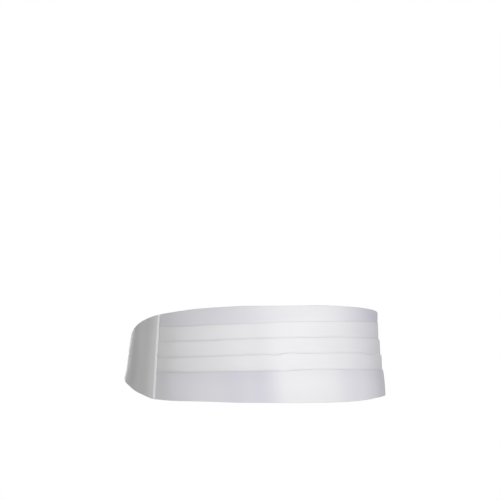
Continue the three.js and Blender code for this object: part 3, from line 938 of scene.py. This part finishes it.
def stitches(name, lines):
    rings, around = 5, 6
    share = np.linspace(0, 1, rings)
    turn = np.linspace(0, 2 * np.pi, around, endpoint=False)
    swell = np.sqrt(np.clip(1 - (2 * share - 1) ** 4, 0.02, 1)) * stitch["thick"]
    pitch = stitch["length"] + stitch["gap"]
    upwards = np.array([0, 0, stitch["flat"]])
    points = []
    for start, end in lines:
        start, end = np.array(start, float), np.array(end, float)
        span = np.hypot(*(end - start)[:2])
        count = int(span / pitch)
        direction = (end - start) / span
        across = np.array([-direction[1], direction[0], 0.0])
        first = (span - count * pitch + stitch["gap"]) / 2
        for number in range(count):
            begin = first + number * pitch
            middle = start + direction * (begin + share[:, None] * stitch["length"])
            middle[:, 2] += stitch["rise"] * np.sin(np.pi * share)
            ring = middle[:, None, :] + swell[:, None, None] * (
                np.cos(turn)[None, :, None] * across + np.sin(turn)[None, :, None] * upwards
            )
            points.append(place(ring[..., 0], ring[..., 1], ring[..., 2]).reshape(-1, 3))
    i = np.arange(rings - 1)[:, None] * around
    j = np.arange(around)[None, :]
    here = i + j
    beside = i + (j + 1) % around
    one = np.stack([here, beside, around + beside, around + here], axis=-1).reshape(-1, 4)
    bases = [number * rings * around for number in range(len(points))]
    faces = np.concatenate([one + base for base in bases]).tolist()
    faces += [(base + np.arange(around)[::-1]).tolist() for base in bases]
    faces += [(base + (rings - 1) * around + np.arange(around)).tolist() for base in bases]
    mesh = bpy.data.meshes.new(name)
    mesh.from_pydata(np.concatenate(points).tolist(), [], faces)
    tidy = bmesh.new()
    tidy.from_mesh(mesh)
    bmesh.ops.recalc_face_normals(tidy, faces=tidy.faces)
    tidy.to_mesh(mesh)
    tidy.free()
    mesh.polygons.foreach_set("use_smooth", np.ones(len(mesh.polygons), bool))
    mesh.materials.append(thread)
    piece = bpy.data.objects.new(name, mesh)
    bpy.context.scene.collection.objects.link(piece)
    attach(piece, "root")


# A rectangle of four stitched lines round the strap's middle, between two arcs and their offsets.
def stitchedBox(fromArc, toArc, fromOffset, toOffset):
    lower = strap["level"] - strap["height"] / 2 + stitch["margin"]
    upper = strap["level"] + strap["height"] / 2 - stitch["margin"]
    corners = [
        (fromArc, lower, fromOffset),
        (toArc, lower, toOffset),
        (toArc, upper, toOffset),
        (fromArc, upper, fromOffset),
    ]
    return [(corners[i], corners[(i + 1) % 4]) for i in range(4)]


def strapStitches():
    lines = []
    panelEnd = front["halfLength"] + panel["length"]
    panelFace = panel["wall"] + stitch["proud"]
    # Where the box on the strap begins and ends, as distances from the centre of the back.
    onStrap = returnEnd - stitch["strapInset"] - np.array([0.0, stitch["strapBox"]])
    strapFace = outerLeg(onStrap) + strap["wall"] / 2 + stitch["proud"]
    for side in (-1, 1):
        near = side * (panelEnd - strap["tuck"] + stitch["panelInset"])
        far = side * (panelEnd - stitch["panelInset"])
        lines += stitchedBox(near, far, panelFace, panelFace)
        near, far = side * (halfRound - onStrap)
        lines += stitchedBox(near, far, *strapFace)
    stitches("strapStitches", lines)


strapStitches()
print("stitches made")

# Light, floor and camera

stageLook = {"floorLevel": -1.0, "floorRadius": 1.25, "floorColour": (0.93, 0.93, 0.93)}

photoView = {
    "azimuth": 32.0,  # degrees to the wearer's right of straight ahead
    "elevation": 2.5,
    "distance": 3.5,
    "focalPixels": 2595.3,  # at the picture's 500 pixels
    "originPixel": (256.2, 350.3),
    "framePixels": 500.0,
}


def makeFloor():
    mesh = bpy.data.meshes.new("floor")
    turn = np.linspace(0, 2 * np.pi, 96, endpoint=False)
    rim = np.stack([np.cos(turn), np.sin(turn), 0 * turn], axis=1) * stageLook["floorRadius"]
    rim[:, 2] = stageLook["floorLevel"]
    mesh.from_pydata(rim.tolist(), [], [list(range(96))])
    floor = bpy.data.objects.new("floor", mesh)
    bpy.context.scene.collection.objects.link(floor)
    paper = bpy.data.materials.new("pale floor")
    paper.use_nodes = True
    shader = paper.node_tree.nodes["Principled BSDF"]
    shader.inputs["Base Color"].default_value = (*stageLook["floorColour"], 1)
    shader.inputs["Roughness"].default_value = 0.9
    mesh.materials.append(paper)


# The direction at an azimuth from straight ahead towards the wearer's left, both in degrees.
def direction(azimuth, elevation):
    azimuth, elevation = np.radians(azimuth), np.radians(elevation)
    level = np.cos(elevation)
    return Vector((np.sin(azimuth) * level, -np.cos(azimuth) * level, np.sin(elevation)))


def makeCamera():
    azimuth = np.radians(photoView["azimuth"])
    back = direction(-photoView["azimuth"], photoView["elevation"])
    sideways = Vector((np.cos(azimuth), -np.sin(azimuth), 0.0))
    upwards = back.cross(sideways)
    middle = photoView["framePixels"] / 2
    perPixel = photoView["distance"] / photoView["focalPixels"]
    leftOf = (middle - photoView["originPixel"][0]) * perPixel
    above = (photoView["originPixel"][1] - middle) * perPixel
    aim = sideways * leftOf + upwards * above
    data = bpy.data.cameras.new("camera")
    data.sensor_fit = "HORIZONTAL"
    data.sensor_width = 36.0
    data.lens = 36.0 * photoView["focalPixels"] / photoView["framePixels"]
    data.clip_start = 0.1
    data.clip_end = 30.0
    camera = bpy.data.objects.new("camera", data)
    camera.location = back * photoView["distance"]
    camera.rotation_mode = "QUATERNION"
    camera.rotation_quaternion = (aim - camera.location).to_track_quat("-Z", "Y")
    bpy.context.scene.collection.objects.link(camera)
    bpy.context.scene.camera = camera


# Soft boxes, all turned to the origin. Azimuths go from straight ahead to the wearer's left.
softBoxes = [
    {"name": "low front", "azimuth": -20, "elevation": -45, "watts": 4.4, "colour": (0.97, 0.96, 1.0)},
    {"name": "front", "azimuth": 0, "elevation": 12, "watts": 3.2, "colour": (0.95, 0.94, 1.0)},
    {"name": "key", "azimuth": 23, "elevation": 12, "watts": 4.8, "colour": (1.0, 1.0, 0.865)},
    {"name": "left front", "azimuth": 40, "elevation": 12, "watts": 2.1, "colour": (0.66, 0.69, 1.0)},
    {"name": "high front", "azimuth": -10, "elevation": 40, "watts": 2.0, "colour": (1.0, 1.0, 0.97)},
    {"name": "right side", "azimuth": -60, "elevation": 12, "watts": 2.85, "colour": (0.96, 0.96, 1.0)},
    {"name": "far right", "azimuth": -100, "elevation": 12, "watts": 0.75, "colour": (1.0, 0.98, 0.82)},
    {"name": "right back", "azimuth": -140, "elevation": 40, "watts": 1.5, "colour": (1.0, 0.97, 0.86)},
    {"name": "left back", "azimuth": 120, "elevation": 40, "watts": 1.5, "colour": (1.0, 1.0, 1.0)},
    {"name": "high back", "azimuth": 148, "elevation": 58, "watts": 9.0, "colour": (1.0, 1.0, 1.0)},
    {"name": "back", "azimuth": 166, "elevation": 10, "watts": 5.0, "colour": (1.0, 1.0, 1.0)},
]
boxes = {"distance": 1.3, "size": 0.8}
worldLook = {"seen": 1.0, "light": 0.15}


def makeLights():
    for box in softBoxes:
        away = direction(box["azimuth"], box["elevation"])
        data = bpy.data.lights.new(box["name"], "AREA")
        data.shape = "SQUARE"
        data.size = boxes["size"]
        data.energy = box["watts"]
        data.color = box["colour"]
        lamp = bpy.data.objects.new(box["name"], data)
        lamp.location = away * boxes["distance"]
        lamp.visible_camera = False
        lamp.rotation_mode = "QUATERNION"
        lamp.rotation_quaternion = away.to_track_quat("Z", "Y")
        bpy.context.scene.collection.objects.link(lamp)


# The surroundings look plain white, and light the cloth more weakly than they look.
def makeSurroundings():
    world = bpy.data.worlds.new("surroundings")
    world.use_nodes = True
    tree = world.node_tree
    background = tree.nodes["Background"]
    background.inputs["Color"].default_value = (1, 1, 1, 1)
    rays = addNode(tree, "ShaderNodeLightPath")
    strength = addNode(tree, "ShaderNodeMix", data_type="FLOAT")
    strength.inputs["A"].default_value = worldLook["light"]
    strength.inputs["B"].default_value = worldLook["seen"]
    tree.links.new(rays.outputs["Is Camera Ray"], strength.inputs["Factor"])
    tree.links.new(strength.outputs["Result"], background.inputs["Strength"])
    bpy.context.scene.world = world
    bpy.context.scene.view_settings.view_transform = "Standard"


makeFloor()
makeCamera()
makeLights()
makeSurroundings()
print("stage set")
